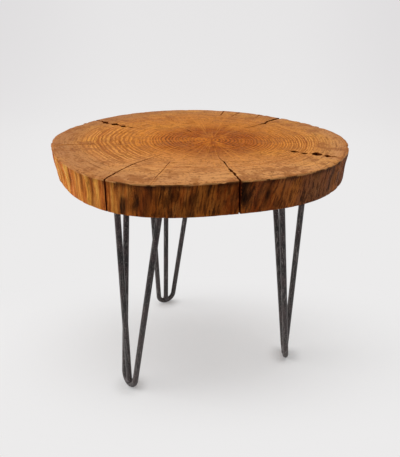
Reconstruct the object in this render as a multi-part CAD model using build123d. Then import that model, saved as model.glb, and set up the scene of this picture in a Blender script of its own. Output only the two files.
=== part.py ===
from build123d import *
import math
import os

# A low round table: one thick slice of a tree trunk, standing on three hairpin legs.
# Each leg is a rod bent into a hairpin, a straight brace rod welded into its bend, and a
# plate that the rod ends are welded to and that five screws hold under the slice.
# Millimetres. The origin is on the floor under the middle of the slice, +Z is up, and the
# front of the table faces -Y.

# ---- the slice of trunk ----
leg_height = 406.0        # floor to the underside of the slice
slab_thickness = 50.5
rim_radius = 260.4        # mean radius of the sawn top face
rim_lobes = [             # swellings of the trunk: (how many round it, height, bearing of the first)
    (2, 5.2, 30.5),
    (3, 6.0, -8.0),
    (4, 2.4, -16.8),
    (5, 2.6, 26.6),
    (6, 1.9, 8.0),
]
rim_points = 48           # points of the spline round the rim
top_ease = 1.6            # softened upper edge
undercut = 2.3            # mean of how far the side leans in at the underside
undercut_lobes = [        # how that changes round the trunk, as for the rim: in places the side flares
    (1, 2.0, 124.0),
    (2, 2.7, 13.0),
    (3, 1.2, -25.0),
]
lean_height = 40.0        # height over which the side leans

# ---- drying cracks, radial, cut down from the top face ----
# name: bearing, whether it goes right through, and stations from the tip to the rim, each
# (distance in from the mean rim, sideways drift to the left looking outwards, width)
cracks = {
    "front_left": (-120.5, True, [
        (125, 3, 0.8), (97, -3, 1.2), (73, -1, 1.4), (48, -1, 1.5), (4, 1, 1.7), (-25, 6, 1.9)]),
    "front_right": (-76.5, True, [
        (130, 1, 0.8), (105, 1, 1.6), (81, -1, 2.8), (61, 2, 1.5), (38, -2, 3.8), (-25, -2, 6.5)]),
    "back_right": (46.5, True, [
        (128, -4, 0.9), (114, -4, 1.2), (91, -1, 2.2), (69, -2, 4.0), (40, 3, 5.0), (-25, 9, 9.0)]),
    "right": (-27.5, False, [
        (94, 0, 1.5), (82, -1, 6.0), (69, -2, 2.5), (60, -2, 5.0), (46, 5, 12.0), (31, 3, 6.0), (14, 3, 1.5)]),
    "back_left": (150.0, False, [
        (108, 5, 1.5), (90, 5, 10.0), (76, 4, 4.0), (65, -1, 12.0), (52, -3, 4.0), (42, -4, 13.0), (18, -5, 2.0)]),
}
crack_floor = 4.0         # wood left between a shallow crack and the tip of a pilot hole

# ---- hairpin legs ----
foot_inset = 73.4         # how far the three feet stand in from the mean rim
legs = {                  # name: bearing of the foot, and how far the leg is twisted from facing the middle
    "front_left": (-134.6, -7.2),
    "right": (-10.3, 10.3),
    "back": (115.7, 3.8),
}
rod_diameter = 11.0
bend_radius = 19.6        # of the rod's centreline round the foot
arm_spread = 112.0        # between the two arms where they meet the plate
arm_inset = 46.0          # how far inwards of the foot the arms meet the plate
brace_inset = -3.0        # the same for the brace rod
brace_aside = 8.0         # how far to the left of the foot the brace meets the plate

# ---- mounting plates ----
plate_thickness = 4.0
plate_outer = 27.0        # reach outwards of the foot
plate_inner = 70.0        # reach inwards of the foot
plate_half_width = 70.0
plate_nose_half_width = 24.0
plate_shoulder = 14.0     # how far inwards of the foot the slanted nose ends
plate_corner = 7.0

# ---- screws ----
screw_margin = 13.0       # from a plate's edge to a screw's middle
shoulder_screw_inset = 18.0     # how far inwards of the foot the two outer screws sit
inner_screw_spread = 48.0       # between the two inner screws
nose_screw_aside = 6.0          # how far to the right of the foot the nose screw sits
screw_length = 30.0       # under the head
screw_crest = 4.8         # diameter over the thread
screw_root = 3.4          # diameter at the bottom of the thread
thread_pitch = 2.5
screw_tip = 5.0           # length of the point
head_diameter = 9.5
head_height = 3.2
recess_width = 1.1        # of each slot of the cross recess
recess_length = 5.0
recess_depth = 1.6
screw_clearance = 0.4     # round the shank, in the plate
pilot_clearance = 0.1     # round and beyond the thread, in the wood

# ---- welds ----
bead_leg = 4.0            # of the fillet bead round each rod end
bead_toe = 0.6            # thickness of the bead where it fades out on the rod
foot_bead_radius = 7.8
foot_bead_rise = 1.2      # of its middle above the bent rod's upper side

foot_circle = rim_radius - foot_inset
rod_radius = rod_diameter / 2
pilot_depth = screw_length - plate_thickness + pilot_clearance
shallow_depth = slab_thickness - pilot_depth - crack_floor
rod_top = leg_height - plate_thickness
table_height = leg_height + slab_thickness
screw_places = [
    (screw_margin - plate_outer, -nose_screw_aside),
    (shoulder_screw_inset, plate_half_width - screw_margin),
    (shoulder_screw_inset, screw_margin - plate_half_width),
    (plate_inner - screw_margin, inner_screw_spread / 2),
    (plate_inner - screw_margin, -inner_screw_spread / 2),
]


def swollen(mean, lobes, bearing):
    """A mean size plus one cosine round the trunk for each set of lobes."""
    return mean + sum(height * math.cos(math.radians(n * (bearing - first))) for n, height, first in lobes)


def trunk_section(height, leaning):
    """The trunk's outline at a height, stood in by the undercut where it leans."""
    points = []
    for index in range(rim_points):
        bearing = 360.0 * index / rim_points
        reach = swollen(rim_radius, rim_lobes, bearing)
        if leaning:
            reach -= swollen(undercut, undercut_lobes, bearing)
        points.append((reach * math.cos(math.radians(bearing)), reach * math.sin(math.radians(bearing))))
    return Pos(0, 0, height) * make_face(Spline(points, periodic=True))


def trunk():
    """A length of trunk: upright at the top, its upper edge eased, and leaning in or out below."""
    sections = [
        trunk_section(leg_height, True),
        trunk_section(leg_height + lean_height, False),
        trunk_section(table_height, False),
    ]
    body = loft(sections, ruled=True)
    return chamfer(body.faces().sort_by(Axis.Z)[-1].edges(), top_ease)


def crack(bearing, through, stations):
    """A ragged wedge along a radius: its left edge out to the rim, and its right edge back."""
    left = [(rim_radius - inset, aside + width / 2) for inset, aside, width in stations]
    right = [(rim_radius - inset, aside - width / 2) for inset, aside, width in stations]
    outline = make_face(Polyline(*left, *reversed(right), close=True))
    depth = slab_thickness if through else shallow_depth
    wedge = extrude(Pos(0, 0, table_height - depth) * outline, depth)
    return Rot(0, 0, bearing) * wedge


def pilot_holes():
    hole = Pos(0, 0, leg_height) * extrude(Circle(screw_crest / 2 + pilot_clearance), pilot_depth)
    return [stand(leg) * Pos(x, y, 0) * hole for leg in legs for x, y in screw_places]


def slab():
    """The slice, its bounding box centred over the origin, with its cracks and pilot holes."""
    body = trunk()
    box = body.bounding_box()
    to_middle = Pos(-(box.min.X + box.max.X) / 2, -(box.min.Y + box.max.Y) / 2, 0)
    return to_middle * body - [crack(*spec) for spec in cracks.values()] - pilot_holes()


def stand(leg):
    """Where a leg stands: its own +X points inwards over the floor from its foot."""
    bearing, twist = legs[leg]
    angle = math.radians(bearing)
    foot = (foot_circle * math.cos(angle), foot_circle * math.sin(angle), 0.0)
    return Pos(*foot) * Rot(0, 0, bearing + 180.0 + twist)


def trimmed(rod):
    """Cuts what stands above the plate's lower face off a rod or bead."""
    above = Pos(arm_inset, 0, rod_top + leg_height / 2) * Box(4 * arm_spread, 4 * arm_spread, leg_height)
    return rod - above


def hairpin_plane():
    """Plane of the bent rod: its x runs across the leg and its y climbs from foot to plate."""
    climb = Vector(arm_inset, 0, rod_top - rod_radius)
    return Plane(origin=(0, 0, rod_radius), x_dir=(0, 1, 0), z_dir=Vector(0, 1, 0).cross(climb))


def arm_top():
    """One arm's end at the plate, in the hairpin's own plane."""
    return Vector(arm_spread / 2, math.hypot(arm_inset, rod_top - rod_radius))


def arm_foot():
    """Where that arm runs tangent into the bend, in the same plane."""
    middle = Vector(0, bend_radius)
    reach = arm_top() - middle
    turn = math.atan2(reach.Y, reach.X) - math.acos(bend_radius / reach.length)
    return middle + Vector(bend_radius * math.cos(turn), bend_radius * math.sin(turn))


def hairpin():
    """One rod bent to a narrow V with a round foot, run on past the plate and trimmed flush with it."""
    foot, top = arm_foot(), arm_top()
    end = top + (top - foot).normalized() * rod_diameter
    path = Polyline((-end.X, end.Y), (-foot.X, foot.Y))
    path += ThreePointArc((-foot.X, foot.Y), (0, 0), (foot.X, foot.Y))
    path += Polyline((foot.X, foot.Y), (end.X, end.Y))
    path = hairpin_plane() * path
    profile = Plane(origin=path @ 0, z_dir=path % 0) * Circle(rod_radius)
    return trimmed(sweep(profile, path=path))


def arm_axis(side):
    """One arm's end on the plate and the direction in which it arrives there."""
    top, foot = arm_top(), arm_foot()
    upper = hairpin_plane().from_local_coords(Vector(side * top.X, top.Y, 0))
    lower = hairpin_plane().from_local_coords(Vector(side * foot.X, foot.Y, 0))
    return upper, (upper - lower).normalized()


def brace_axis():
    """The same for the brace rod, which starts in the middle of the bend."""
    upper = Vector(brace_inset, brace_aside, rod_top)
    return upper, (upper - Vector(0, 0, rod_radius)).normalized()


def brace(bent_rod):
    """The straight third rod, its lower end coped over the bend."""
    upper, along = brace_axis()
    foot = Vector(0, 0, rod_radius) + along
    length = (upper - foot).length + rod_diameter
    rod = Plane(origin=foot, z_dir=along) * extrude(Circle(rod_radius), length)
    return trimmed(rod) - bent_rod


def plate():
    """A rectangle with its two outer corners cut off, and a hole for each screw."""
    corners = [
        (-plate_outer, plate_nose_half_width),
        (plate_shoulder, plate_half_width),
        (plate_inner, plate_half_width),
    ]
    mirrored = [(x, -y) for x, y in reversed(corners)]
    outline = make_face(Polyline(*corners, *mirrored, close=True))
    outline = fillet(outline.vertices(), plate_corner)
    for x, y in screw_places:
        outline -= Pos(x, y) * Circle(screw_crest / 2 + screw_clearance)
    return Pos(0, 0, rod_top) * extrude(outline, plate_thickness)


def top_beads(bent_rod, brace_rod):
    """A fillet bead round each rod end, on the plate's lower face."""
    height = bead_leg + rod_radius
    slope = (bead_leg - bead_toe) / bead_leg
    cone = Cone(
        rod_radius + bead_toe,
        rod_radius + bead_toe + slope * height,
        height,
        align=(Align.CENTER, Align.CENTER, Align.MIN),
    )
    beads = []
    for (upper, along), rod in [
        (arm_axis(1), bent_rod), (arm_axis(-1), bent_rod), (brace_axis(), brace_rod)
    ]:
        beads.append(trimmed(Plane(origin=upper - along * bead_leg, z_dir=along) * cone) - rod)
    return Compound(beads)


def foot_bead(bent_rod, brace_rod):
    """The weld that joins the brace to the inside of the bend."""
    return Pos(0, 0, rod_diameter + foot_bead_rise) * Sphere(foot_bead_radius) - bent_rod - brace_rod


def head_outline():
    """Half of a domed screw head, from the axis over the crown to its rim."""
    rim = head_diameter / 2
    dome = (rim * rim + head_height * head_height) / (2 * head_height)
    half = math.asin(rim / dome) / 2
    crown = (dome * math.sin(half), dome * (1 - math.cos(half)) - head_height)
    return ThreePointArc((0, -head_height), crown, (rim, 0))


def screw():
    """A round-headed wood screw, point up, with its head's flat side at z 0 and ridges for its thread."""
    crest, root = screw_crest / 2, screw_root / 2
    threaded = screw_length - screw_tip
    turns = int(threaded / thread_pitch)
    plain = threaded - turns * thread_pitch
    rows = [(head_diameter / 2, 0), (crest, 0), (crest, plain + thread_pitch / 5)]
    for turn in range(turns):
        low = plain + turn * thread_pitch
        rows += [(root, low + thread_pitch / 2), (crest, low + thread_pitch)]
    rows += [(root, threaded + thread_pitch / 4), (0, screw_length), (0, -head_height)]
    body = revolve(Plane.XZ * make_face(Polyline(*rows) + head_outline()), Axis.Z)
    slot = Pos(0, 0, -head_height + recess_depth / 2) * Box(recess_length, recess_width, recess_depth)
    return body - slot - Rot(0, 0, 90) * slot


def leg_pieces():
    """Every piece of one leg in the leg's own frame."""
    bent_rod = hairpin()
    brace_rod = brace(bent_rod)
    one_screw = screw()
    return {
        "mounting_plate": plate(),
        "hairpin_rod": bent_rod,
        "brace_rod": brace_rod,
        "plate_welds": top_beads(bent_rod, brace_rod),
        "foot_weld": foot_bead(bent_rod, brace_rod),
        "plate_screws": Compound([Pos(x, y, rod_top) * one_screw for x, y in screw_places]),
    }


os.makedirs("parts", exist_ok=True)
export_step(slab(), "parts/trunk_slice_top.step")
for name, shape in leg_pieces().items():
    for leg in legs:
        export_step(stand(leg) * shape, f"parts/{name}_{leg}.step")
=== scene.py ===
import math

import bmesh
import bpy
import numpy as np
from mathutils import Matrix, Vector


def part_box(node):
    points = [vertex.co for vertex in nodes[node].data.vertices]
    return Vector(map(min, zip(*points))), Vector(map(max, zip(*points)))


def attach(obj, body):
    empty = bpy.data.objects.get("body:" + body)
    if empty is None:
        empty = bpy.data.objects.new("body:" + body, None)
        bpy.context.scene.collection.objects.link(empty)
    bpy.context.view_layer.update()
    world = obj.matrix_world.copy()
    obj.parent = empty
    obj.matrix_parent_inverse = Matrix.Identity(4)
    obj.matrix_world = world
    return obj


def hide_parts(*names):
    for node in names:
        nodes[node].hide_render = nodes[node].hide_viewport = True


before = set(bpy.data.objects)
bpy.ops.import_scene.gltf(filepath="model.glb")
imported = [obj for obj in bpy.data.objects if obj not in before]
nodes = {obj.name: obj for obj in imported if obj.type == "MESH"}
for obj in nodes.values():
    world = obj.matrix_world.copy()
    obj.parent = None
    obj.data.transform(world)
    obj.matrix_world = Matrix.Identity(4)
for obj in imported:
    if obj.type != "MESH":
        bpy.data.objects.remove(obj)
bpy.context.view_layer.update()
mm = 0.001
print("nodes in the frame:", len(nodes))

# %% [markdown]
# ## Camera and colour
# The camera stands in front of the table and a little above it, looks down by 24 degrees and is rolled by
# about one. A wide view from close by makes the near leg look longer than the far ones, so the distance
# matters as much as the lens. The view transform is Standard, because then a colour renders about as it is
# written.

# %% Camera
camera_place = (0.0006, -0.9244, 0.6888)
camera_pitch = math.radians(24.07)
camera_roll = math.radians(0.933)
sensor_width = 36.0
focal_share = 515.8 / 457.0     # focal length over the longer side of the frame


def add_object(name, data):
    made = bpy.data.objects.new(name, data)
    bpy.context.scene.collection.objects.link(made)
    return made


def add_camera():
    data = bpy.data.cameras.new("camera")
    data.sensor_width = sensor_width
    data.lens = sensor_width * focal_share
    camera = add_object("camera", data)
    camera.location = camera_place
    tilt = Matrix.Rotation(math.pi / 2 - camera_pitch, 4, "X")
    camera.rotation_euler = (tilt @ Matrix.Rotation(camera_roll, 4, "Z")).to_euler()
    bpy.context.scene.camera = camera


add_camera()
bpy.context.scene.view_settings.view_transform = "Standard"
print("lens, mm:", round(bpy.context.scene.camera.data.lens, 2))

# %% [markdown]
# ## Two tools for surfaces
# Natural wood is never even. `wander` is value noise: a table of seeded random numbers laid round the trunk
# and up its side, read in between with a smooth step. It comes back to its start after one turn, so no seam
# shows. `make_piece` turns points and faces into a mesh, merges the points that coincide and makes every
# face point outwards.

# %% Wander
def smooth_step(share):
    """3t^2 - 2t^3: rises from 0 to 1 and is level at both ends."""
    return share * share * (3 - 2 * share)


def wander(angle, climb, around, up, seed):
    """Value noise from 0 to 1. angle in radians goes once round in `around` cells, climb from 0 to 1 rises
    through `up` cells, and each cell blends its four corners with the smooth step."""
    table = np.random.default_rng(seed).random((up + 2, around))
    turns = np.mod(angle / (2 * np.pi), 1.0) * around
    rise = np.clip(climb, 0, 1) * up
    column, row = np.floor(turns).astype(int), np.floor(rise).astype(int)
    across, upward = smooth_step(turns - column), smooth_step(rise - row)
    column, following = column % around, (column + 1) % around
    lower = table[row, column] * (1 - across) + table[row, following] * across
    upper = table[row + 1, column] * (1 - across) + table[row + 1, following] * across
    return lower * (1 - upward) + upper * upward


one_turn_apart = wander(np.array([0.1, 0.1 + 2 * np.pi]), np.zeros(2), 5, 1, 1)
print("wander at an angle and one turn further:", one_turn_apart.round(3))

# %% Mesh helpers
def grid_faces(rows, columns, start, closed):
    """Quads of a grid of rows x columns points numbered row by row from start; closed joins the last column
    to the first."""
    row, column = np.mgrid[:rows - 1, :columns if closed else columns - 1]
    beside = (column + 1) % columns
    corners = (row * columns + column, row * columns + beside,
               (row + 1) * columns + beside, (row + 1) * columns + column)
    return start + np.stack(corners, axis=-1).reshape(-1, 4)


def make_piece(name, points, faces, values=None, finishes=None, sharp=40.0):
    """A mesh object from points (n, 3) and quads (m, 4). values holds a number for each point under each
    attribute's name, finishes the material index of each quad, and edges over sharp degrees stay sharp."""
    mesh = bpy.data.meshes.new(name)
    mesh.from_pydata(points.tolist(), [], faces.tolist())
    for label, numbers in (values or {}).items():
        mesh.attributes.new(label, "FLOAT", "POINT").data.foreach_set("value", numbers.astype(np.float32))
    if finishes is not None:
        mesh.polygons.foreach_set("material_index", finishes.astype(np.int32))
    shape = bmesh.new()
    shape.from_mesh(mesh)
    bmesh.ops.remove_doubles(shape, verts=shape.verts, dist=2e-6)
    bmesh.ops.recalc_face_normals(shape, faces=shape.faces)
    shape.to_mesh(mesh)
    open_edges = sum(1 for edge in shape.edges if not edge.is_manifold)
    shape.free()
    mesh.validate()
    mesh.shade_smooth()
    mesh.set_sharp_from_angle(angle=math.radians(sharp))
    print(name, "points", len(mesh.vertices), "faces", len(mesh.polygons), "open edges", open_edges)
    return add_object(name, mesh)


print("quads of a closed grid of 3 x 4 points:", len(grid_faces(3, 4, 0, True)))

# %% [markdown]
# ## The outline of the slice
# The slice follows the trunk it was cut from: a circle with soft swellings. Each swelling is a cosine that
# goes round a whole number of times, so the curve closes smoothly. The same numbers shape the solid in the
# frame. The frame's origin is under the middle of the outline's box and not under the trunk's own centre,
# so that centre is worked out here.

# %% Outline
low_corner, high_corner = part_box("trunk_slice_top")
underside, top = low_corner.z, high_corner.z
thickness = top - underside
mean_rim = 260.4 * mm
swellings = [(2, 5.2, 30.5), (3, 6.0, -8.0), (4, 2.4, -16.8), (5, 2.6, 26.6), (6, 1.9, 8.0)]
mean_undercut = 2.3 * mm        # how far the underside's edge stands in from the top's
undercut_swellings = [(1, 2.0, 124.0), (2, 2.7, 13.0), (3, 1.2, -25.0)]
rim_slack = 0.4 * mm            # keeps the side just inside the solid


def swollen(mean, waves, angle):
    """Mean size plus, for each wave, its height times the cosine of count x (angle - bearing)."""
    size = np.full_like(angle, mean)
    for count, height, bearing in waves:
        size = size + height * mm * np.cos(count * (angle - math.radians(bearing)))
    return size


def rim_reach(angle):
    return swollen(mean_rim - rim_slack, swellings, angle)


def undercut(angle):
    return swollen(mean_undercut, undercut_swellings, angle)


def trunk_middle():
    """Middle of the box round the upper and the lower outline, turned into the trunk's own centre."""
    turn = np.linspace(0, 2 * np.pi, 3600, endpoint=False)
    reach = np.concatenate([rim_reach(turn), rim_reach(turn) - undercut(turn)])
    x, y = reach * np.cos(np.tile(turn, 2)), reach * np.sin(np.tile(turn, 2))
    return np.array([-(x.min() + x.max()) / 2, -(y.min() + y.max()) / 2])


middle = trunk_middle()
pith = np.array([18.5, -13.0]) * mm
print("trunk's centre, mm:", np.round(middle / mm, 2), "thickness, mm:", round(thickness / mm, 1))

# %% [markdown]
# ## Drying cracks
# A slice shrinks more round its rings than across them as it dries, so it splits along its radii. A boolean
# with wedges would cut such cracks, but with straight edges. Here each crack is a seam in the grid: one ray
# of the polar grid is doubled, bent to follow the crack's path, and its two copies are drawn apart by the
# crack's width. Walls are then hung in the opening. Each crack is a bearing, a depth, or `through`, and
# stations of distance, drift to the left and width, in millimetres.

# %% Crack list
through = None
shallow = 18.0
cracks = {
    "front_left": (-120.5, through, [
        (128, 4, 0), (137, 2, 0.8), (150, 1, 0.7), (163, -1, 1.4), (187, -3, 1.6), (205, -3, 2.4),
        (222, -1, 1.8), (240, 1, 2.4), (256, 4, 2.4), (272, 6, 2.6), (285, 7, 2.6)]),
    "front_right": (-76.5, through, [
        (104, 2, 0), (113, 1, 0.5), (131, -1, 0.6), (147, 0, 1), (153, 1, 2.6), (166, 0, 1.8),
        (179, -1, 1.4), (188, -1, 1.2), (193, -1, 4.8), (200, -1, 5), (204, -1, 1.6), (208, 0, 3),
        (214, 0, 4.6), (222, -1, 2.4), (234, -1, 3.2), (252, -1, 4.6), (285, -1, 5.2)]),
    "back_right": (46.5, through, [
        (112, -3, 0), (124, -5, 1), (140, -6, 2.4), (148, -6, 3), (153, -5, 1), (162, -4, 1.2),
        (170, -5, 4), (180, -6, 5), (188, -4, 5.5), (194, -1, 2.6), (201, 2, 5), (216, 3, 5.4), (232, 4, 6),
        (246, 4, 8), (285, 6, 10)]),
    "right": (-27.5, shallow, [
        (158, 1, 0), (164, 0, 0.7), (170, -1, 2), (176, -1, 9), (181, -1, 8), (184, -1, 1), (188, -2, 1),
        (192, -3, 11), (197, -3, 10), (201, -2, 0.8), (205, 3, 1.2), (209, 5, 15), (215, 6, 19),
        (220, 5, 13), (223, 3, 1.4), (227, 2, 1.4), (231, 2, 14), (236, 2, 12), (239, 3, 0.8), (244, 4, 5),
        (250, 4, 0)]),
    "back_left": (150.0, shallow, [
        (112, 3, 0), (128, 3, 0.6), (148, 5, 1.4), (154, 5, 5), (160, 5, 5), (164, 5, 2), (167, 6, 2.4),
        (171, 6, 12), (177, 5, 12), (181, 4, 3), (187, 3, 2.6), (192, 1, 14), (200, 0, 16), (205, 0, 6),
        (210, 3, 3.6), (214, 5, 8), (218, 3, 6), (223, -2, 14), (230, -4, 14), (235, -5, 5), (244, -6, 4),
        (254, -6, 6), (285, -7, 9)]),
    "front_hair": (-106.2, 3.0, [(150, -4, 0), (164, -3, 0.7), (200, 1, 0.8), (236, 3, 0.7), (252, 6, 0)]),
    "left_hair": (-165.0, 3.0, [
        (180, 6, 0), (200, 5, 1.4), (222, 2, 1.2), (240, 1, 1.8), (253, 0, 1.2), (260, 0, 0)]),
    "back_check_a": (78.5, 4.0, [(198, 1, 0), (214, 0, 1.4), (236, 0, 2), (252, 1, 1.6), (258, 1, 0)]),
    "back_check_b": (70.5, 4.0, [(192, 4, 0), (212, 3, 1.2), (236, 0, 2), (250, -1, 1.6), (257, -1, 0)]),
    "back_check_c": (58.5, 4.0, [(216, -3, 0), (234, 0, 1.4), (250, 2, 2.4), (259, 2, 0)]),
    "pith_check": (112.5, 3.0, [(44, 1, 0), (56, 0, 1.8), (70, 1, 1.4), (80, 2, 0)])
}
closed_depth = {name: depth * mm for name, (_, depth, _) in cracks.items() if depth is not through}
print("cracks:", len(cracks), "of which close inside the wood:", len(closed_depth))

# %% [markdown]
# ## Grid of the slice
# Rows run from the centre out to the rim, down the side and back to the centre underneath. Columns are rays.
# Near a crack the rays bend with it, and the bend fades over a few columns so that the mesh stays even.

# %% Crack paths on the grid
ray_count = 720
fade_rays = 15                  # columns over which a crack's bend fades out
hairline = 0.06 * mm            # a crack narrower than this is shut
torn_spots, torn_reach = 90, 0.3        # random numbers along a torn edge, and metres that they span
ray_angles = 2 * np.pi * np.arange(ray_count) / ray_count


def crack_path(name):
    """Distance, angle and width of a crack at its stations, turned to its bearing and seen from the trunk's
    centre."""
    bearing, _, stations = cracks[name]
    along, aside, width = (np.array(stations, float) * mm).T
    turn = math.radians(bearing)
    x = along * math.cos(turn) - aside * math.sin(turn) - middle[0]
    y = along * math.sin(turn) + aside * math.cos(turn) - middle[1]
    return np.hypot(x, y), np.unwrap(np.arctan2(y, x)), width


def smooth_between(reach, stations, values):
    """Reads values between stations with the smooth step, and nought beyond both ends."""
    number = np.clip(np.searchsorted(stations, reach, side="right") - 1, 0, len(stations) - 2)
    step = np.clip((reach - stations[number]) / (stations[number + 1] - stations[number]), 0, 1)
    step = smooth_step(step)
    value = values[number] * (1 - step) + values[number + 1] * step
    return np.where((reach >= stations[0]) & (reach <= stations[-1]), value, 0.0)


def ragged(reach, seed):
    """Unevenness of a torn edge from 0.5 to 1.5, along the crack."""
    spots = np.random.default_rng(seed).uniform(0.5, 1.5, torn_spots)
    return np.interp(reach, np.linspace(0, torn_reach, torn_spots), spots)


def crack_columns():
    """Ray and side of each column, and each crack's ray. A plain ray has side 0. A crack's ray comes twice,
    with -1 and +1 for the crack's two lips."""
    seats = {}
    for name in cracks:
        reach, angle, _ = crack_path(name)
        at_rim = np.interp(mean_rim, reach, angle) % (2 * np.pi)
        seats[name] = int(round(at_rim / (2 * np.pi) * ray_count)) % ray_count
    rays = np.sort(np.concatenate([np.arange(ray_count), list(seats.values())]))
    twice = rays[1:] == rays[:-1]
    return rays, np.append(0, twice) - np.append(twice, 0), seats


column_rays, column_sides, crack_rays = crack_columns()
print("columns:", len(column_rays), "rays of the cracks:", crack_rays)

# %% Bent rays
def steps_from(ray):
    """Columns from a ray to every column, the short way round: negative before it, positive after it."""
    return (column_rays - ray + ray_count // 2) % ray_count - ray_count // 2


def bent_angles(reach, only_through=False):
    """Angle of every column at every reach (rows x columns): its ray, plus each crack's bend and half its
    width, faded with the cosine-squared of the distance in columns. A hairline gap counts as shut."""
    angle = np.broadcast_to(ray_angles[column_rays], reach.shape).copy()
    for name, ray in crack_rays.items():
        path_reach, path_angle, width = crack_path(name)
        steps = steps_from(ray)
        fade = np.cos(np.clip(np.abs(steps) / fade_rays, 0, 1) * np.pi / 2) ** 2
        side = np.where(steps == 0, column_sides, np.sign(steps))
        bend = np.interp(reach, path_reach, path_angle) - ray_angles[ray]
        bend = (bend + np.pi) % (2 * np.pi) - np.pi
        gap = smooth_between(reach, path_reach, width / 2)
        shut = (gap < hairline / 2) | (only_through and name in closed_depth)
        lip = np.where(side < 0, ragged(reach, ray), ragged(reach, ray + 1))
        angle += fade * (bend + side * np.where(shut, 0.0, gap) * lip / np.maximum(reach, 1 * mm))
    return angle


turned = bent_angles(np.full((1, len(column_rays)), mean_rim)) - ray_angles[column_rays]
print("largest turn of a ray at the rim, degrees:", round(float(np.degrees(np.abs(turned).max())), 2))

# %% [markdown]
# ## The side of the slice
# Under the bark are long upright ridges and grooves, which lean a little to the right. A Displace modifier
# could make them, but then the side could swell past the solid. Here each point is moved inwards only, by
# three sizes of wander added together. The deepest grooves also notch the top edge.

# %% Flutes
grain_slope = 0.060             # radians that the grooves drift over the height where the grain leans most
grain_sway = 0.012              # radians by which they wander as well
most_leaning = math.radians(-50.0)
flute_depth = 5.6 * mm
lean_share = 0.8                # of the height, from the underside, over which the side leans
chip_depth, chip_inset = 3.2 * mm, 0.8 * mm


def grain_drift(angle, climb):
    """How far along the rim a groove has moved at this height: the slope times the height from the middle
    times the cube of half of 1 + cosine of the angle from the most leaning bearing, and a little wander."""
    leaning = (0.5 + 0.5 * np.cos(angle - most_leaning)) ** 3
    sway = wander(angle, climb, 34, 3, 15) - 0.5
    return grain_slope * (climb - 0.5) * leaning + grain_sway * sway


def flutes(angle, climb):
    """Depth of the grooves, 0 to 1: broad hollows, medium flutes and, in patches, narrow grooves. Each is a
    wander raised to a power, so that ridges are broad and grooves narrow."""
    drift = angle - grain_drift(angle, climb)
    broad = wander(drift, climb, 46, 1, 11)
    medium = wander(drift, climb, 130, 2, 12)
    narrow = wander(drift, climb, 370, 5, 13)
    patches = np.clip(2.2 * wander(angle, climb, 60, 2, 14) - 0.5, 0, 1)
    return 0.34 * broad ** 1.5 + 0.34 * medium ** 2.4 + 0.32 * narrow ** 2.2 * patches


def side_reach(angle, climb):
    """Radius of the side: the rim, less the flutes, which calm down towards the underside and the top edge,
    less the undercut, which grows below the upper fifth. climb is 0 at the underside and 1 at the top."""
    lean = undercut(angle) * np.clip((lean_share - climb) / lean_share, 0, 1)
    calm = 0.35 + 0.65 * np.clip(climb / 0.3, 0, 1) - 0.5 * np.clip((climb - 0.78) / 0.22, 0, 1)
    return rim_reach(angle) - flute_depth * calm * flutes(angle, climb) - lean


def chips(angle):
    """How far the top edge is broken down, 0 to 1, where two wanders are both high."""
    spot = wander(angle, angle * 0, 190, 1, 21) * wander(angle, angle * 0, 44, 1, 22)
    return np.clip((spot - 0.30) / 0.4, 0, 1)


half_way = flutes(ray_angles, np.full(ray_count, 0.5))
print("mean depth of the grooves half way up, mm:", round(flute_depth / mm * half_way.mean(), 2))

# %% [markdown]
# ## Scars and planks
# Two kinds of mark follow the grain. Scars are dark, where bark held on, and planks are strips of clean
# golden wood. They change only the colour, so they are numbers carried by the mesh.

# %% Scars and planks
# bearing and half width in degrees, strength, lowest and highest climb
scars = [
    (-147, 0.8, 0.5, 0.4, 1), (-138.5, 0.5, 0.5, 0.3, 1), (-133, 0.5, 0.4, 0, 1), (-130, 0.8, 0.7, 0.4, 1),
    (-124.5, 0.5, 0.5, 0, 0.9), (-112.2, 1.5, 0.9, 0, 0.55), (-113.2, 0.5, 0.7, 0.2, 1),
    (-108.6, 1.3, 0.55, 0.2, 1), (-105.2, 1.2, 1, 0, 1), (-99.3, 0.7, 0.5, 0, 1), (-91.5, 1.2, 0.6, 0, 0.7),
    (-87.4, 0.5, 0.9, 0.3, 1), (-75, 2.4, 0.95, 0.2, 1), (-69, 0.6, 0.8, 0.1, 0.9), (-65.8, 1.2, 1, 0.1, 1),
    (-53.5, 1.6, 0.45, 0.6, 1), (-36, 0.7, 0.8, 0.2, 1), (-158, 0.8, 0.5, 0.2, 1), (35, 1.2, 0.8, 0, 1),
    (63, 0.9, 0.7, 0.2, 1), (96, 1.4, 0.9, 0, 0.9), (121, 0.8, 0.7, 0.1, 1), (158, 1.1, 0.8, 0, 1),
    (186, 0.8, 0.6, 0.3, 1)]
planks = [
    (-163, 3.2, 0.5, 0, 1), (-147, 4, 0.6, 0, 1), (-109, 1.6, 0.9, 0, 0.95), (-102, 2.4, 1, 0, 1),
    (-96.5, 1.6, 0.3, 0.1, 1), (-86, 2.2, 0.5, 0, 1), (-61.5, 2, 0.3, 0, 1), (-55.5, 3.6, 0.8, 0, 0.9),
    (-28.5, 3.6, 0.9, 0, 1), (20, 3, 0.5, 0, 1), (78, 2.5, 0.6, 0, 1), (108, 2, 0.6, 0, 1),
    (140, 2.8, 0.6, 0, 1)]


def upright_marks(marks, angle, climb, seed):
    """Sum over the marks of strength times a bell curve of the distance along the rim, between the lowest
    and highest climb, made ragged by a wander."""
    total = np.zeros_like(angle)
    turned = angle - 1.3 * grain_drift(angle, climb)
    ragged_share = 0.45 + 1.1 * wander(turned, climb, 240, 4, seed)
    for bearing, half_width, strength, low, high in marks:
        apart = np.degrees((turned - math.radians(bearing) + np.pi) % (2 * np.pi) - np.pi)
        ends = np.clip((climb - low) / 0.12 + 0.5, 0, 1) * np.clip((high - climb) / 0.12 + 0.5, 0, 1)
        total += strength * ends * np.exp(-(apart / half_width) ** 2)
    return np.clip(total * ragged_share, 0, 1)


print("scars:", len(scars), "planks:", len(planks))

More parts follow.
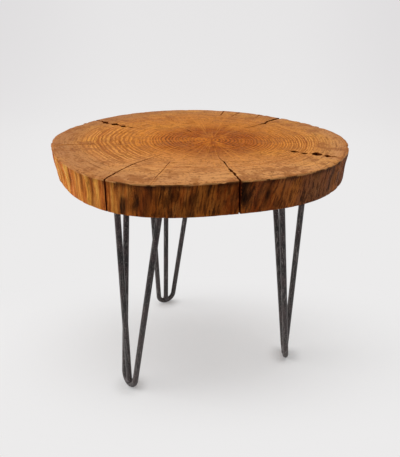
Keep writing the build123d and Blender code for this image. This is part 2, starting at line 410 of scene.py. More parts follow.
# %% [markdown]
# ## Top, underside and side
# The rows of the top are shares of the way out to the rim. The last ones ease over the edge. The underside
# uses the same shares, and the side joins the two rims, so that all three meet point by point.

# %% Faces of the slice
edge_start, edge_width = 0.975, 0.025   # the share of the way out where the edge begins, and the rest
shares = np.concatenate([[0.0, 0.12], np.linspace(0.16, 0.54, 9), np.linspace(0.565, 0.91, 36),
                         np.linspace(0.925, edge_start, 4), [0.986, 0.994, 1.0]])
edge_drop = np.interp(shares, [edge_start, 0.986, 0.994, 1.0], [0.0, 0.15, 0.5, 1.3]) * mm
side_levels = np.linspace(1, 0, 20)


def placed(reach, angle, height):
    """Points at a distance and an angle from the trunk's centre, at a height."""
    x, y = middle[0] + reach * np.cos(angle), middle[1] + reach * np.sin(angle)
    return np.stack([x, y, height + 0 * reach], axis=-1)


def reach_of(points):
    """Distance of points from the trunk's centre, seen from above."""
    return np.hypot(points[..., 0] - middle[0], points[..., 1] - middle[1])


def sawn_face(upper):
    """Points and angles of the top or underside: every share of the way out along every bent ray, the last
    rows eased over the edge and set in where it is chipped."""
    out, drop = shares[:, None], edge_drop[:, None]
    plain = ray_angles[column_rays][None, :]
    angle = bent_angles(out * side_reach(plain, np.ones_like(plain)), only_through=not upper)
    broken = chips(plain) * np.clip((out - edge_start) / edge_width, 0, 1)
    reach = out * side_reach(angle, np.full_like(angle, 1.0 if upper else 0.0)) - chip_inset * broken
    height = top - (drop + chip_depth * broken) if upper else underside + drop
    return placed(reach, angle, height), angle


def slit_rows(name):
    """Rows of the side that a crack closing inside the wood runs down: its depth over a row's height."""
    row_height = thickness / (len(side_levels) - 1)
    return max(4, math.ceil(closed_depth[name] / row_height))


def side_face(upper_rim, upper_angle, lower_rim, lower_angle):
    """Points and angles of the side: between the two rims' last rows, on the fluted radius. The first and
    last rows are those rims. Beside a crack that closes inside the wood the columns come together at its
    floor."""
    down = (1 - side_levels)[:, None]
    settle = np.repeat(down, len(column_rays), axis=1)
    for name in closed_depth:
        shut = np.clip(np.arange(len(side_levels)) / slit_rows(name), 0, 1)
        settle[:, np.abs(steps_from(crack_rays[name])) <= fade_rays] = shut[:, None]
    angle = upper_angle * (1 - settle) + lower_angle * settle
    height = upper_rim[:, 2] * (1 - down) + lower_rim[:, 2] * down
    inward = np.sin(np.pi * down) ** 0.25
    edge = reach_of(upper_rim) * (1 - settle) + reach_of(lower_rim) * settle
    reach = side_reach(angle, (height - underside) / thickness) * inward + edge * (1 - inward)
    points = placed(reach, angle, height)
    points[0], points[-1] = upper_rim, lower_rim
    return points, angle


top_points, top_angles = sawn_face(upper=True)
low_points, low_angles = sawn_face(upper=False)
side_points, side_angles = side_face(top_points[-1], top_angles[-1], low_points[-1], low_angles[-1])
print("rows and columns of the top:", top_angles.shape, "and of the side:", side_angles.shape)

# %% [markdown]
# ## Crack walls
# Each crack that goes through gets two walls, one under each lip, whose outer edge is the side's own column,
# so nothing is left open at the rim. A crack that closes inside the wood gets one trough, from lip to lip.
# Torn wood is rough, so the walls wander sideways in the middle.

# %% Walls and troughs
wall_roughness = 0.22           # of the crack's width
full_depth_gap = 1.5 * mm       # a trough gets shallower where the crack is narrower than this


def lips(name):
    """A crack's right and left column, its gap in every row of the top and the last row before it opens."""
    right, left = np.flatnonzero(column_rays == crack_rays[name])
    gap = np.linalg.norm(top_points[:, left] - top_points[:, right], axis=-1)
    return right, left, gap, int(np.flatnonzero(gap > 1e-7)[0]) - 1


def through_walls(name):
    """For each lip, a grid between the top's column and the underside's, bulging by a seeded unevenness that
    is nought along all four edges."""
    right, left, _, start = lips(name)
    stations, _, width = crack_path(name)
    down = (1 - side_levels)[:, None]
    for column in (right, left):
        wall = top_points[:, column][:, None] * (1 - down) + low_points[:, column][:, None] * down
        rough = np.random.default_rng(column).uniform(-1, 1, wall.shape[:2]) * np.sin(np.pi * down[:, 0])
        rough = rough * smooth_between(reach_of(wall), stations, width) * wall_roughness
        rough[:start + 1] = 0.0
        turn = top_angles[:, column][:, None]
        wall[..., 0] -= np.sin(turn) * rough
        wall[..., 1] += np.cos(turn) * rough
        wall[-1] = side_points[:, column]
        yield wall[start:]


def trough(name):
    """A grid from lip to lip: sideways it follows a cosine, downwards the depth times a sine, and the
    depth fades where the crack is narrow. Where it opens at the rim, its last row runs down one column of
    the side and up the other."""
    right, left, gap, start = lips(name)
    rows = slit_rows(name)
    swing = np.linspace(0, np.pi, 2 * rows + 1)
    share = (0.5 - 0.5 * np.sign(np.cos(swing)) * np.abs(np.cos(swing)) ** 0.5)[:, None]
    points = top_points[:, right][:, None] * (1 - share) + top_points[:, left][:, None] * share
    depth = closed_depth[name] * np.clip(gap / full_depth_gap, 0, 1)
    points[..., 2] -= depth[:, None] * np.sin(swing) ** 0.6
    if gap[-1] > hairline:
        points[-1] = np.concatenate([side_points[:rows + 1, right], side_points[rows - 1::-1, left]])
    return points[start:]


print("last row before each crack opens:", {name: lips(name)[-1] for name in cracks})

# %% [markdown]
# ## Putting the slice together
# All grids are numbered one after the other and joined where their points coincide. A grid that goes around
# the trunk is closed, but its faces between the two lips of a crack are left out, because that is the
# opening. Every point also carries a few numbers for the materials: how far out on the trunk it is, how deep
# in a groove, how far inside a crack, and how much of a scar or a plank it is.

# %% Assemble the slice
sawn_top, fluted_side, torn_wood, sawn_underside = range(4)


def without_gaps(faces, start):
    """Drops the quads that span a crack's two lips."""
    column = (faces[:, 0] - start) % len(column_rays)
    beside = (column + 1) % len(column_rays)
    spans = (column_rays[column] == column_rays[beside]) & (column_sides[column] == -1)
    return faces[~spans]


def slice_grids():
    """Each grid of points with its material, whether it goes around the trunk, and its point values."""
    climb = (side_points[..., 2] - underside) / thickness
    side_values = {"outward": 1.0, "groove": flutes(side_angles, climb),
                   "scar": upright_marks(scars, side_angles, climb, 31),
                   "plank": upright_marks(planks, side_angles, climb, 32)}
    yield top_points, sawn_top, True, {"outward": shares[:, None]}
    yield side_points, fluted_side, True, side_values
    yield low_points[::-1], sawn_underside, True, {"outward": shares[::-1, None]}
    for name in cracks:
        if name in closed_depth:
            wall = trough(name)
            inside = np.clip(np.sin(np.linspace(0, np.pi, wall.shape[1])) * 1.6, 0, 1)
            yield wall, torn_wood, False, {"inside": inside}
        else:
            inside = np.clip(np.minimum(1 - side_levels, side_levels) * 8, 0, 1)
            for wall in through_walls(name):
                yield wall, torn_wood, False, {"inside": inside}


def build_slice():
    points, faces, finishes, count = [], [], [], 0
    values = {"outward": [], "groove": [], "inside": [], "scar": [], "plank": []}
    for grid, finish, around, carried in slice_grids():
        quads = grid_faces(*grid.shape[:2], count, around)
        if around:
            quads = without_gaps(quads, count)
        points.append(grid.reshape(-1, 3))
        faces.append(quads)
        finishes.append(np.full(len(quads), finish))
        for label, store in values.items():
            store.append(np.broadcast_to(carried.get(label, 0.0), grid.shape[:2]).reshape(-1))
        count += len(points[-1])
    values = {label: np.concatenate(store) for label, store in values.items()}
    return make_piece("log_slice", np.concatenate(points), np.concatenate(faces), values,
                      np.concatenate(finishes), sharp=48.0)


log_slice = build_slice()

# %% [markdown]
# ## Node helpers
# A material is a small program of nodes. A `Signal` is what one node puts out: a number, a colour or a
# place. Its sums and products add Math nodes and its methods add other nodes, so that a material reads like
# a sum. Colours are written as they look on a screen, and `paint` turns them into the linear numbers that
# nodes use.

# %% Node helpers
def paint(red, green, blue):
    """Screen colour 0-255 to linear: below 0.04045 a division by 12.92, above it the 2.4 power curve."""
    channels = np.array([red, green, blue]) / 255.0
    linear = np.where(channels <= 0.04045, channels / 12.92, ((channels + 0.055) / 1.055) ** 2.4)
    return (*linear.tolist(), 1.0)


def put(tree, kind, values, **settings):
    """Adds one node. A value that is a signal or an output is linked, any other is typed in."""
    node = tree.nodes.new("ShaderNode" + kind)
    for key, value in settings.items():
        setattr(node, key, value)
    for key, value in values.items():
        value = value.socket if isinstance(value, Signal) else value
        if isinstance(value, bpy.types.NodeSocket):
            tree.links.new(value, node.inputs[key])
        else:
            node.inputs[key].default_value = value
    return node


def signal(tree, kind, values, output=0, **settings):
    """Adds one node and gives what it puts out."""
    return Signal(tree, put(tree, kind, values, **settings).outputs[output])


def mix(tree, share, first, second):
    """Colour between first and second. Each is a signal or a screen colour."""
    first, second = (colour if isinstance(colour, Signal) else paint(*colour) for colour in (first, second))
    return signal(tree, "Mix", {0: share, 6: first, 7: second}, 2, data_type="RGBA", clamp_factor=True)


print("middle grey 128 as a linear number:", round(paint(128, 128, 128)[0], 3))

# %% Signals
class Signal:
    """What a node puts out, with the tree that it belongs to."""

    def __init__(self, tree, socket):
        self.tree, self.socket = tree, socket

    def calc(self, operation, other=0.0):
        return signal(self.tree, "Math", {0: self, 1: other}, operation=operation)

    def __add__(self, other):
        return self.calc("ADD", other)

    def __sub__(self, other):
        return self.calc("SUBTRACT", other)

    def __mul__(self, other):
        return self.calc("MULTIPLY", other)

    def __truediv__(self, other):
        return self.calc("DIVIDE", other)

    def __rsub__(self, other):
        return signal(self.tree, "Math", {0: other, 1: self}, operation="SUBTRACT")

    def span(self, low, high, to_low=0.0, to_high=1.0, smooth=True):
        """Slides from to_low at low to to_high at high, with a smooth step or straight."""
        kind = "SMOOTHSTEP" if smooth else "LINEAR"
        values = {"Value": self, "From Min": low, "From Max": high, "To Min": to_low, "To Max": to_high}
        return signal(self.tree, "MapRange", values, interpolation_type=kind)

    def vector(self, operation, other=(0.0, 0.0, 0.0), output=0):
        return signal(self.tree, "VectorMath", {0: self, 1: other}, output, operation=operation)

    def stretched(self, *factors):
        return self.vector("MULTIPLY", factors)

    def length(self):
        return self.vector("LENGTH", output="Value")

    def axes(self):
        return [Signal(self.tree, output) for output in put(self.tree, "SeparateXYZ", {0: self}).outputs]

    def noise(self, scale, detail=2.0, rough=0.5, warp=0.0):
        values = {"Vector": self, "Scale": scale, "Detail": detail, "Roughness": rough, "Distortion": warp}
        return signal(self.tree, "TexNoise", values, "Fac")

    def noise_line(self, scale, detail):
        values = {"W": self, "Scale": scale, "Detail": detail}
        return signal(self.tree, "TexNoise", values, "Fac", noise_dimensions="1D")

    def ramp(self, stops):
        """Colour between the stops, each a place and a screen colour."""
        node = put(self.tree, "ValToRGB", {"Fac": self})
        elements = node.color_ramp.elements
        while len(elements) < len(stops):
            elements.new(0.5)
        for element, (place, colour) in zip(elements, stops):
            element.position = place
            element.color = paint(*colour)
        return Signal(self.tree, node.outputs["Color"])

    def coated(self, coats):
        """This colour under coats, each a share and a colour, the last one on top."""
        colour = self
        for share, coat in coats:
            colour = mix(self.tree, share, colour, coat)
        return colour

    def bump(self, strength, distance):
        values = {"Height": self, "Strength": strength, "Distance": distance}
        return signal(self.tree, "Bump", values, "Normal")

    def to(self, node, name):
        """Links this signal into a node."""
        self.tree.links.new(self.socket, node.inputs[name])


def combined(tree, x, y, z):
    return signal(tree, "CombineXYZ", {0: x, 1: y, 2: z})


def object_place(tree):
    return signal(tree, "TexCoord", {}, "Object")


def attribute(tree, name):
    return signal(tree, "Attribute", {}, "Fac", attribute_name=name)


print("methods of a signal:", ", ".join(name for name in vars(Signal) if not name.startswith("__")))

# %% Material helpers
def grouped(tree, group, **inputs):
    """Places a shared node group in a material and gives its outputs by name."""
    node = tree.nodes.new("ShaderNodeGroup")
    node.node_tree = group
    for name, value in inputs.items():
        node.inputs[name].default_value = value
    return {output.name: Signal(tree, output) for output in node.outputs}


def new_material(name, **plain):
    """A material with its tree and shader. plain holds values for the shader's own sockets."""
    material = bpy.data.materials.new(name)
    material.use_nodes = True
    shader = material.node_tree.nodes["Principled BSDF"]
    for key, value in plain.items():
        shader.inputs[shader_sockets[key]].default_value = value
    return material, material.node_tree, shader


shader_sockets = {"specular": "Specular IOR Level", "roughness": "Roughness", "metallic": "Metallic",
                  "colour": "Base Color"}
print("plain shader values that a finish can set:", ", ".join(shader_sockets))

# %% [markdown]
# ## Growth rings
# The top and the underside show the same rings, so they are one node group. Near the pith a ring is a circle
# round it, and near the bark it follows the outline, so the ring number slides from the distance to the pith
# over to the share of the way out that the mesh carries. Noise along that number makes the rings uneven, and
# noise along the ring and round it gives the short dashes of the pores.

# %% Growth ring group
year_width = 6.0 * mm
ring_settle = (0.11, 0.20)      # metres from the pith over which a ring goes over from circle to outline


def socket(tree, name, kind, way, default=None):
    made = tree.interface.new_socket(name, in_out=way, socket_type="NodeSocket" + kind)
    if default is not None:
        made.default_value = default


def ring_group():
    """Input: Wobble, how far the rings stray, in metres. Outputs: Ring, how far out in metres; Band and Line,
    broad and fine rings from 0 to 1; Dash, pores; Ray, streaks along the radii; Star, the pale burst round
    the pith; Left, 1 towards -X; Sideways, 1 towards either side and 0 to the front and back."""
    tree = bpy.data.node_groups.new("growth_rings", "ShaderNodeTree")
    socket(tree, "Wobble", "Float", "INPUT", 0.004)
    wobble = Signal(tree, tree.nodes.new("NodeGroupInput").outputs[0])
    place = object_place(tree)
    from_pith = place.stretched(1.0, 1.0, 0.0).vector("SUBTRACT", (pith[0], pith[1], 0.0))
    near = from_pith.length()
    right, back = from_pith.vector("NORMALIZE").axes()[:2]
    settle = near.span(*ring_settle)
    ring = near * (1.0 - settle) + attribute(tree, "outward") * mean_rim * settle
    ring = ring + (place.noise(9.0) - 0.5) * (wobble * 4.0)
    ring = ring + (place.noise(55.0) - 0.5) * wobble
    phase = ring * (2 * math.pi / year_width) + ring.noise_line(60.0, 1.0) * 9.0
    beat = phase.calc("SINE").span(-1.0, 1.0, smooth=False)
    burst = combined(tree, near * 26.0, right * 2.6, back * 2.6)
    outputs = {
        "Ring": ring,
        "Band": ring.noise_line(75.0, 1.0),
        "Line": beat * 0.52 + ring.noise_line(260.0, 1.0) * 0.48,
        "Dash": combined(tree, ring * 330.0, right * 6.0, back * 6.0).noise(1.0, rough=0.6),
        "Ray": combined(tree, ring * 7.0, right * 34.0, back * 34.0).noise(1.0, rough=0.55),
        "Star": burst.noise(1.0, 3.0, 0.6, 0.6).span(0.42, 0.62) * near.span(0.085, 0.015),
        "Left": right.span(0.2, -0.9),
        "Sideways": right.calc("ABSOLUTE").span(0.45, 0.9),
    }
    for name in outputs:
        socket(tree, name, "Float", "OUTPUT")
    leave = tree.nodes.new("NodeGroupOutput")
    for name, signal in outputs.items():
        signal.to(leave, name)
    return tree


growth_rings = ring_group()
print("growth ring nodes:", len(growth_rings.nodes))

# %% [markdown]
# ## The oiled top
# Oil brings out the reds of the heartwood, and the younger wood outside it is paler and greyer, partly its
# own colour and partly a painted sheen. The colour first follows the distance from the pith, then the rings
# darken it in bands and lines, pores and rays break those up, and slow noise adds the patches that every
# real slice has. The front is painted lighter and greyer and the back darker, as painted light and shade.
# The ring lines also feed the bump, very weakly, because sanding leaves the hard latewood a hair proud.

# %% Oiled top material
def oiled_top():
    material, tree, shader = new_material("oiled_end_grain", specular=0.02)
    place = object_place(tree)
    forward = place.axes()[1]
    rings = grouped(tree, growth_rings, Wobble=0.004)
    share = rings["Ring"] / mean_rim
    # Paler and greyer past 0.86 of the way out: the younger wood's own colour and partly a painted sheen.
    wood = share.ramp([(0.00, (176, 88, 18)), (0.14, (172, 86, 20)), (0.34, (190, 108, 34)),
                       (0.55, (208, 134, 56)), (0.75, (208, 138, 66)), (0.86, (190, 130, 70)),
                       (0.95, (190, 134, 84)), (1.00, (174, 114, 64))])
    heart = share.span(0.06, 0.16) * share.span(0.36, 0.24)
    gold = place.stretched(1.0, 1.6, 1.0).noise(11.0).span(0.50, 0.68)
    clear = share.span(0.90, 0.70, 0.3, 1.0) * place.noise(8.0, 1.0).span(0.36, 0.54, 0.6, 1.0)
    crisp = (rings["Sideways"] * 0.6).calc("MAXIMUM", share.span(0.45, 0.30))
    line = rings["Line"].span(0.47, 0.62) * clear * crisp.span(0.0, 1.0, 0.45, 0.95, smooth=False)
    line = line * rings["Left"].span(0.0, 1.0, 1.0, 0.84)
    line_colour = mix(tree, share.span(0.3, 0.55), (88, 36, 8), (134, 64, 20))
    dash = rings["Dash"].span(0.54, 0.68) * share.span(0.6, 0.85, 0.6, 0.7)
    dash_colour = mix(tree, share.span(0.6, 0.85), (112, 58, 24), (122, 80, 50))
    patch = place.noise(30.0, 4.0, 0.7).span(0.50, 0.62) * share.span(0.6, 0.85, 0.4, 0.7)
    wood = wood.coated([
        (heart * rings["Sideways"].span(0.0, 1.0, 0.35, 0.7), (154, 74, 18)),
        (gold * share.span(0.3, 0.5, 0.0, 0.45), (222, 154, 64)),
        # Painted light and shade: the front painted lighter and greyer, the back painted darker.
        (forward.span(-0.05, -0.19, 0.0, 0.7), (208, 148, 92)),
        (forward.span(0.05, 0.15, 0.0, 0.22), (150, 86, 42)),
        (rings["Band"].span(0.42, 0.66, 0.0, 0.32) * clear, (166, 84, 26)),
        (line, line_colour),
        (rings["Star"] * 0.6, (216, 128, 36)),
        (dash, dash_colour),
        (rings["Ray"].span(0.50, 0.68) * share.span(0.9, 0.1, 0.15, 0.4), (224, 148, 64)),
        (share.span(0.72, 0.92) * (rings["Left"] * 0.45), (150, 98, 60)),
        (patch, (146, 88, 46)),
        (place.noise(260.0, 3.0, 0.6).span(0.52, 0.68, 0.0, 0.62), (92, 46, 18))])
    wood.to(shader, "Base Color")
    rings["Dash"].span(0.35, 0.7, 0.50, 0.68).to(shader, "Roughness")
    (rings["Line"] * 0.5 + rings["Dash"] * 0.7).bump(0.4, 0.0008).to(shader, "Normal")
    return material


top_finish = oiled_top()
print(top_finish.name, "nodes:", len(top_finish.node_tree.nodes))

# %% [markdown]
# ## The peeled side
# Ridges are rubbed golden, grooves are darker, and here and there a blackish patch is left. Noise stretched
# upwards gives the fibres, and the groove number that the mesh carries puts a painted shade where the shape
# is hollow, so colour and form agree. The left, where the lamp stands, stays pale, and the wood gets browner
# and then greyer to the right; the browner front is partly the wood's own colour and partly painted shade.
# A ragged painted shadow lies just under the top edge, and a pale painted highlight along the edge itself.

# %% Peeled side material
def upright_fibres(place):
    """Object place in which a leaning fibre is upright: x less the lean times the height below the top. The
    lean is nought at the left and grows to the right."""
    x, y, z = place.axes()
    lean = x.span(-0.12, 0.12, 0.0, 0.34)
    return combined(place.tree, x - lean * (z - top), y, z)


def crevices(place, scale):
    """Thin dark cracks between bundles of fibres: near the borders of stretched Voronoi cells, 1 to 0."""
    stray = signal(place.tree, "TexNoise", {"Vector": place, "Scale": 60.0}, "Color")
    values = {"Vector": place.vector("ADD", stray), "Scale": scale}
    return signal(place.tree, "TexVoronoi", values, "Distance", feature="DISTANCE_TO_EDGE").span(0.10, 0.02)


def peeled_side():
    material, tree, shader = new_material("peeled_side", specular=0.03)
    place = object_place(tree)
    x, _, z = place.axes()
    upright = upright_fibres(place)
    long_fibres = upright.stretched(1.0, 1.0, 0.10)
    fibre = long_fibres.noise(330.0, 3.0, 0.65)
    strand = long_fibres.noise(105.0, 5.0, 0.72)
    hue = long_fibres.noise(42.0)
    blotch = upright.stretched(1.0, 1.0, 0.35).noise(32.0, 4.0, 0.68)
    lip = place.stretched(1.0, 1.0, 0.2).noise(60.0)
    across = x + (blotch - 0.5) * 0.25
    groove, scar, plank = (attribute(tree, name) for name in ("groove", "scar", "plank"))
    crevice = crevices(upright.stretched(1.0, 1.0, 0.11), 105.0) * blotch.span(0.42, 0.58, 0.3, 0.8)
    dark = blotch.span(0.54, 0.61) * strand.span(0.56, 0.46)
    # shade: a painted shadow, a ragged dark band just under the top edge.
    shade = z.span(top - 11 * mm, top - 4 * mm) * lip.span(0.40, 0.55, 0.1, 0.7)
    # edge: a painted highlight, a pale ragged line along the top edge.
    edge = z.span(top - 4 * mm, top - 2.5 * mm) * lip.span(0.62, 0.48, 0.1, 0.8)
    wood = strand.ramp([(0.32, (120, 54, 16)), (0.42, (188, 102, 36)), (0.52, (222, 138, 58)),
                        (0.66, (242, 174, 88))])
    wood = wood.coated([
        (hue.span(0.50, 0.62, 0.0, 0.55), (196, 96, 40)),
        (hue.span(0.46, 0.36, 0.0, 0.45), (226, 168, 70)),
        # Browner towards the front and right: the wood's own colour and partly painted shade, away from the
        # lamp.
        (across.span(-0.18, -0.09, 0.0, 0.72), (134, 54, 14)),
        (across.span(0.05, 0.16, 0.0, 0.62), (146, 98, 68)),
        (plank * across.span(-0.2, -0.1, 0.35, 0.6), (206, 118, 42)),
        (fibre.span(0.46, 0.62) * across.span(-0.14, -0.05, 0.2, 0.7), (48, 20, 8)),
        # Painted shade in the grooves, where the shape is hollow, weaker at the lit left.
        (groove.span(0.24, 0.55) * across.span(-0.15, -0.08, 0.15, 0.52), (64, 28, 9)),
        (crevice * across.span(-0.18, -0.10, 0.6, 1.0), (34, 14, 6)),
        (dark * across.span(-0.18, -0.08, 0.2, 0.72), (30, 14, 6)),
        (scar * fibre.span(0.66, 0.40, 0.7, 1.0), (22, 10, 6)),
        (shade * across.span(-0.18, -0.08, 0.25, 1.0), (38, 18, 9)),
        (edge, (200, 142, 86))])
    wood.to(shader, "Base Color")
    groove.span(0.1, 0.6, 0.55, 0.85).to(shader, "Roughness")
    (fibre * 0.6 + strand).bump(0.9, 0.003).to(shader, "Normal")
    return material


side_finish = peeled_side()
print(side_finish.name, "nodes:", len(side_finish.node_tree.nodes))

# %% [markdown]
# ## Torn wood and the rough underside
# Inside a crack the wood is bare and in its own shadow, and a painted shade turns it almost black a few
# millimetres down. The underside has the same rings as the top, but it was only sawn: duller, rougher and
# with straight saw marks.

# %% Crack and underside materials
def torn_wood_finish():
    material, tree, shader = new_material("torn_wood", roughness=0.9, specular=0.03)
    fibre = object_place(tree).stretched(1.0, 1.0, 0.12).noise(300.0)
    wood = fibre.ramp([(0.3, (84, 40, 16)), (0.7, (132, 70, 28))])
    # Painted shade: the wood turns almost black further inside a crack.
    wood = wood.coated([(attribute(tree, "inside").span(0.0, 0.8, 0.1, 0.9), (84, 24, 8))])
    wood.to(shader, "Base Color")
    fibre.bump(0.6, 0.001).to(shader, "Normal")
    return material


def rough_underside():
    material, tree, shader = new_material("rough_sawn_underside", roughness=0.82)
    place = object_place(tree)
    rings = grouped(tree, growth_rings, Wobble=0.005)
    saw = place.stretched(6.0, 220.0, 0.0).noise(1.0)
    share = rings["Ring"] / mean_rim
    wood = share.ramp([(0.0, (150, 96, 52)), (0.6, (168, 114, 66)), (0.8, (176, 132, 88)),
                       (1.0, (150, 104, 64))])
    wood = wood.coated([
        (rings["Line"].span(0.45, 0.65, 0.0, 0.45), (112, 68, 36)),
        (saw.span(0.45, 0.7, 0.0, 0.3), (190, 150, 108)),
        (place.noise(14.0, 3.0).span(0.5, 0.75, 0.0, 0.4), (98, 66, 40))])
    wood.to(shader, "Base Color")
    saw.bump(0.4, 0.0008).to(shader, "Normal")
    return material


for finish in (top_finish, side_finish, torn_wood_finish(), rough_underside()):
    log_slice.data.materials.append(finish)
print("materials of the slice:", [finish.name for finish in log_slice.data.materials])
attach(log_slice, "root")
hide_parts("trunk_slice_top")

# %% [markdown]
# ## Raw steel
# The legs are hot-rolled rod, bent and welded and left bare under a clear oil: a dark grey skin of mill
# scale with warmer brown clouds, rubbed a little brighter along its length, and painted brighter towards the
# floor as a painted reflection of the pale paper. One group makes the clouds, the scuffs and that painted
# reflection, and the rods, plates and welds each use it with their own colours.

# %% Mill scale group
def scale_group():
    """Inputs: dark, warm and bright colours. Outputs: Color, Rough from 0 to 1, and Height for a bump."""
    tree = bpy.data.node_groups.new("mill_scale", "ShaderNodeTree")
    for name, colour in {"Dark": (40, 38, 39), "Warm": (64, 52, 50), "Bright": (96, 92, 92)}.items():
        socket(tree, name, "Color", "INPUT", paint(*colour))
    for name, kind in {"Color": "Color", "Rough": "Float", "Height": "Float"}.items():
        socket(tree, name, kind, "OUTPUT")
    dark, warm, bright = (Signal(tree, output) for output in tree.nodes.new("NodeGroupInput").outputs[:3])
    leave = tree.nodes.new("NodeGroupOutput")
    place = object_place(tree)
    cloud = place.noise(38.0, 4.0, 0.6)
    speck = place.noise(520.0, 3.0, 0.7)
    rub = place.stretched(1.0, 1.0, 0.06).noise(520.0)
    colour = mix(tree, cloud.span(0.42, 0.62), dark, warm).coated([
        (rub.span(0.52, 0.68) * cloud.span(0.7, 0.4, 0.1, 0.6), bright),
        (speck.span(0.56, 0.68, 0.0, 0.8), bright),
        # Painted reflection: brighter towards the floor, where the steel mirrors the pale paper.
        (place.axes()[2].span(0.30, 0.04, 0.0, 0.16), bright),
        (speck.span(0.46, 0.36, 0.0, 0.7), (20, 18, 18))])
    colour.to(leave, "Color")
    speck.span(0.3, 0.7, 0.26, 0.54).to(leave, "Rough")
    (speck * 0.6 + rub).to(leave, "Height")
    return tree


mill_scale = scale_group()
print("mill scale nodes:", len(mill_scale.nodes))

# %% Steel finishes
def steel(name, dark, warm, bright, metallic, relief, specular=0.5):
    material, tree, shader = new_material(name, metallic=metallic, specular=specular)
    scale = grouped(tree, mill_scale, Dark=paint(*dark), Warm=paint(*warm), Bright=paint(*bright))
    scale["Color"].to(shader, "Base Color")
    scale["Rough"].to(shader, "Roughness")
    scale["Height"].bump(0.4, relief).to(shader, "Normal")
    return material


def finish_nodes(prefix, material):
    dressed = [node for name, node in nodes.items() if name.startswith(prefix)]
    for node in dressed:
        node.data.materials.clear()
        node.data.materials.append(material)
    print(material.name, "on", len(dressed), prefix, "nodes")


rod_steel = steel("raw_rod_steel", (22, 19, 19), (50, 36, 37), (150, 142, 139), 0.12, 0.0006, 0.3)
plate_steel = steel("raw_plate_steel", (50, 47, 47), (70, 58, 54), (104, 100, 100), 0.75, 0.0004)
bead_steel = steel("weld_bead_steel", (46, 44, 46), (72, 64, 66), (128, 124, 124), 0.7, 0.0007)
zinc = steel("screw_zinc", (120, 118, 112), (134, 126, 108), (170, 168, 162), 0.9, 0.0002)
for prefix, material in {"hairpin_rod": rod_steel, "brace_rod": rod_steel, "mounting_plate": plate_steel,
                         "plate_welds": bead_steel, "foot_weld": bead_steel, "plate_screws": zinc}.items():
    finish_nodes(prefix, material)

# %% [markdown]
# ## Weld beads at the feet
# The brace is welded into the bend with one short fat bead. A welder lays it in overlapping puddles, so it
# has crescent ripples, like coins pushed over. A ball would look machined. Each bead here is a ball grid
# whose radius dips between the puddles and wanders a little, and it stays inside the solid that it replaces.

# %% Foot beads
bead_rows, bead_columns = 33, 48
foot_welds = sorted(name for name in nodes if name.startswith("foot_weld"))


def foot_bead(name, seed):
    """A ball grid: radius times 1, less a dip at each crescent, where the sine of puddles x (tilt + bow of
    the ripple) is near nought, less a wander round and down the ball."""
    low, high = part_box(name)
    radius = min(high.x - low.x, high.y - low.y) / 2
    tilt = np.linspace(0, np.pi, bead_rows)[:, None]
    turn = np.linspace(0, 2 * np.pi, bead_columns, endpoint=False)[None, :]
    puddles = np.abs(np.sin(4.5 * tilt + 0.5 * np.cos(turn + seed)))
    lumps = wander(turn + 0 * tilt, tilt / np.pi + 0 * turn, 7, 5, seed) * np.sin(tilt)
    reach = radius * (0.99 - 0.09 * (1 - puddles) ** 2 * np.sin(tilt) - 0.10 * lumps)
    x = (low.x + high.x) / 2 + reach * np.sin(tilt) * np.cos(turn)
    y = (low.y + high.y) / 2 + reach * np.sin(tilt) * np.sin(turn)
    z = high.z - radius + reach * np.cos(tilt)
    points = np.stack([x, y, z], axis=-1).reshape(-1, 3)
    bead = make_piece("bead_" + name, points, grid_faces(bead_rows, bead_columns, 0, True), sharp=60.0)
    bead.data.materials.append(bead_steel)
    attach(bead, "root")
    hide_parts(name)


for seed, name in enumerate(foot_welds, start=40):
    foot_bead(name, seed)

# %% [markdown]
# ## Floor, backdrop and light
# The table stands on a seamless pale sheet that curves up behind it, so there is no horizon. A wide lamp
# overhead, a smaller one at the left and an even world give a broad soft light. The sheet takes only part of
# its light from the lamps, so that the shadow stays faint and the backdrop even.

# %% Floor and backdrop
shadow_stretch = (0.42, 1.0, 1.0)       # the shadow's patch is longer from side to side than to the back
paper_near, paper_far = 0.04, 0.30      # stretched metres from the middle: paper turns into backdrop
shadow_share = 0.50                     # of the light on the paper under the table, from the lamps
foot_near, foot_far = 8 * mm, 42 * mm   # distances from a foot between which its own shadow fades
foot_share = 0.6                        # of the paper's glow, taken away right at a foot
sheet_bend, sheet_back, sheet_half = 1.2, 2.2, 20.0     # radius of the curve, where it starts, half width
sheet_end = 6.0                         # how far the sheet runs to the front, and how high it stands


def pale_tone(place):
    """Tone of the sheet: palest near the table, a little darker up the back, and darker to the sides and the
    front until it meets the tone of the world beyond its edges."""
    x, y, _ = place.axes()
    aside = x.calc("ABSOLUTE")
    front = y.span(-1.8, -5.0, 0.0, 0.5)
    back = y.span(1.5, 4.0, 0.0, 0.5) * aside.span(6.0, 2.0)
    darker = aside.span(0.5, 1.7, 0.0, 0.5).calc("MAXIMUM", front) + back
    return mix(place.tree, darker, (236, 235, 235), (222, 220, 221))


def seen_rays(tree):
    """1 for rays that show the backdrop: from the camera, in a reflection and through glass."""
    rays = put(tree, "LightPath", {}).outputs
    seen = Signal(tree, rays["Is Camera Ray"]).calc("MAXIMUM", rays["Is Glossy Ray"])
    return seen.calc("MAXIMUM", rays["Is Transmission Ray"])


def beside_feet(place):
    """foot_share right under a foot, down to 0 at a few centimetres from it. The paper there takes more of
    its light from the lamps, so that the small dark shadow of each foot shows."""
    nearest = 0.0
    for name in foot_welds:
        low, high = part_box(name)
        spot = ((low.x + high.x) / 2, (low.y + high.y) / 2, 0.0)
        apart = place.vector("SUBTRACT", spot).length()
        nearest = apart.span(foot_far, foot_near, 0.0, foot_share).calc("MAXIMUM", nearest)
    return nearest


print("feet on the paper:", len(foot_welds))

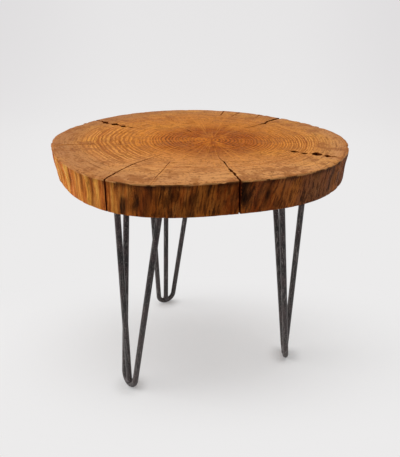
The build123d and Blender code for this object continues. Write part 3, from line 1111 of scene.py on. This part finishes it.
# %% Paper and sheet
def paper_finish():
    """Diffuse paper under the table, which takes its shadow, and further off a plain pale glow that only the
    camera and reflections see, so that the backdrop is even."""
    material, tree, shader = new_material("studio_paper", colour=paint(240, 240, 240), roughness=0.95,
                                          specular=0.1)
    place = object_place(tree)
    distance = place.stretched(*shadow_stretch).length()
    share = distance.span(paper_near, paper_far, 1 - shadow_share, 1.0) * (1.0 - beside_feet(place))
    glow = put(tree, "Emission", {"Color": pale_tone(place), "Strength": 1.0}).outputs[0]
    both = put(tree, "MixShader", {0: share * seen_rays(tree), 1: shader.outputs[0], 2: glow}).outputs[0]
    tree.links.new(both, tree.nodes["Material Output"].inputs["Surface"])
    return material


def sweep_sheet():
    """A sheet whose section runs along the floor, round a quarter circle and up: the same section at every
    x."""
    turn = np.linspace(0, np.pi / 2, 16)
    curve = sheet_back + sheet_bend * np.sin(turn)
    y = np.concatenate([[-sheet_end], curve, [sheet_back + sheet_bend]])[:, None]
    z = np.concatenate([[0.0], sheet_bend - sheet_bend * np.cos(turn), [sheet_end]])[:, None]
    points = np.stack(np.broadcast_arrays([-sheet_half, sheet_half], y, z), axis=-1)
    mesh = bpy.data.meshes.new("studio_sheet")
    mesh.from_pydata(points.reshape(-1, 3).tolist(), [], grid_faces(len(y), 2, 0, False).tolist())
    mesh.shade_smooth()
    mesh.materials.append(paper_finish())
    sheet = add_object("studio_sheet", mesh)
    print("studio sheet faces:", len(mesh.polygons))


sweep_sheet()

# %% Lamps and world
def soft_lamp(name, place, aim, size, power):
    data = bpy.data.lights.new(name, "AREA")
    data.shape = "RECTANGLE"
    data.size, data.size_y = size
    data.energy = power
    lamp = add_object(name, data)
    lamp.location = place
    lamp.rotation_euler = (Vector(aim) - Vector(place)).to_track_quat("-Z", "Y").to_euler()
    print("lamp", name, "watts:", power)


def light_world(strength):
    """Even light of the given strength, and for the rays that show the backdrop its own pale tone."""
    world = bpy.data.worlds.new("studio_world")
    world.use_nodes = True
    tree = world.node_tree
    light = tree.nodes["Background"]
    light.inputs["Color"].default_value = (1.0, 0.995, 0.99, 1.0)
    light.inputs["Strength"].default_value = strength
    backdrop = put(tree, "Background", {"Color": paint(229, 228, 228), "Strength": 1.0}).outputs[0]
    both = put(tree, "MixShader", {0: seen_rays(tree), 1: light.outputs[0], 2: backdrop}).outputs[0]
    tree.links.new(both, tree.nodes["World Output"].inputs["Surface"])
    bpy.context.scene.world = world


soft_lamp("left", (-2.6, -0.1, 1.2), (0.0, 0.0, 0.42), (1.4, 1.4), 43.0)
soft_lamp("overhead", (0.0, 0.05, 3.0), (0.0, 0.05, 0.4), (4.0, 2.2), 70.0)
light_world(0.23)
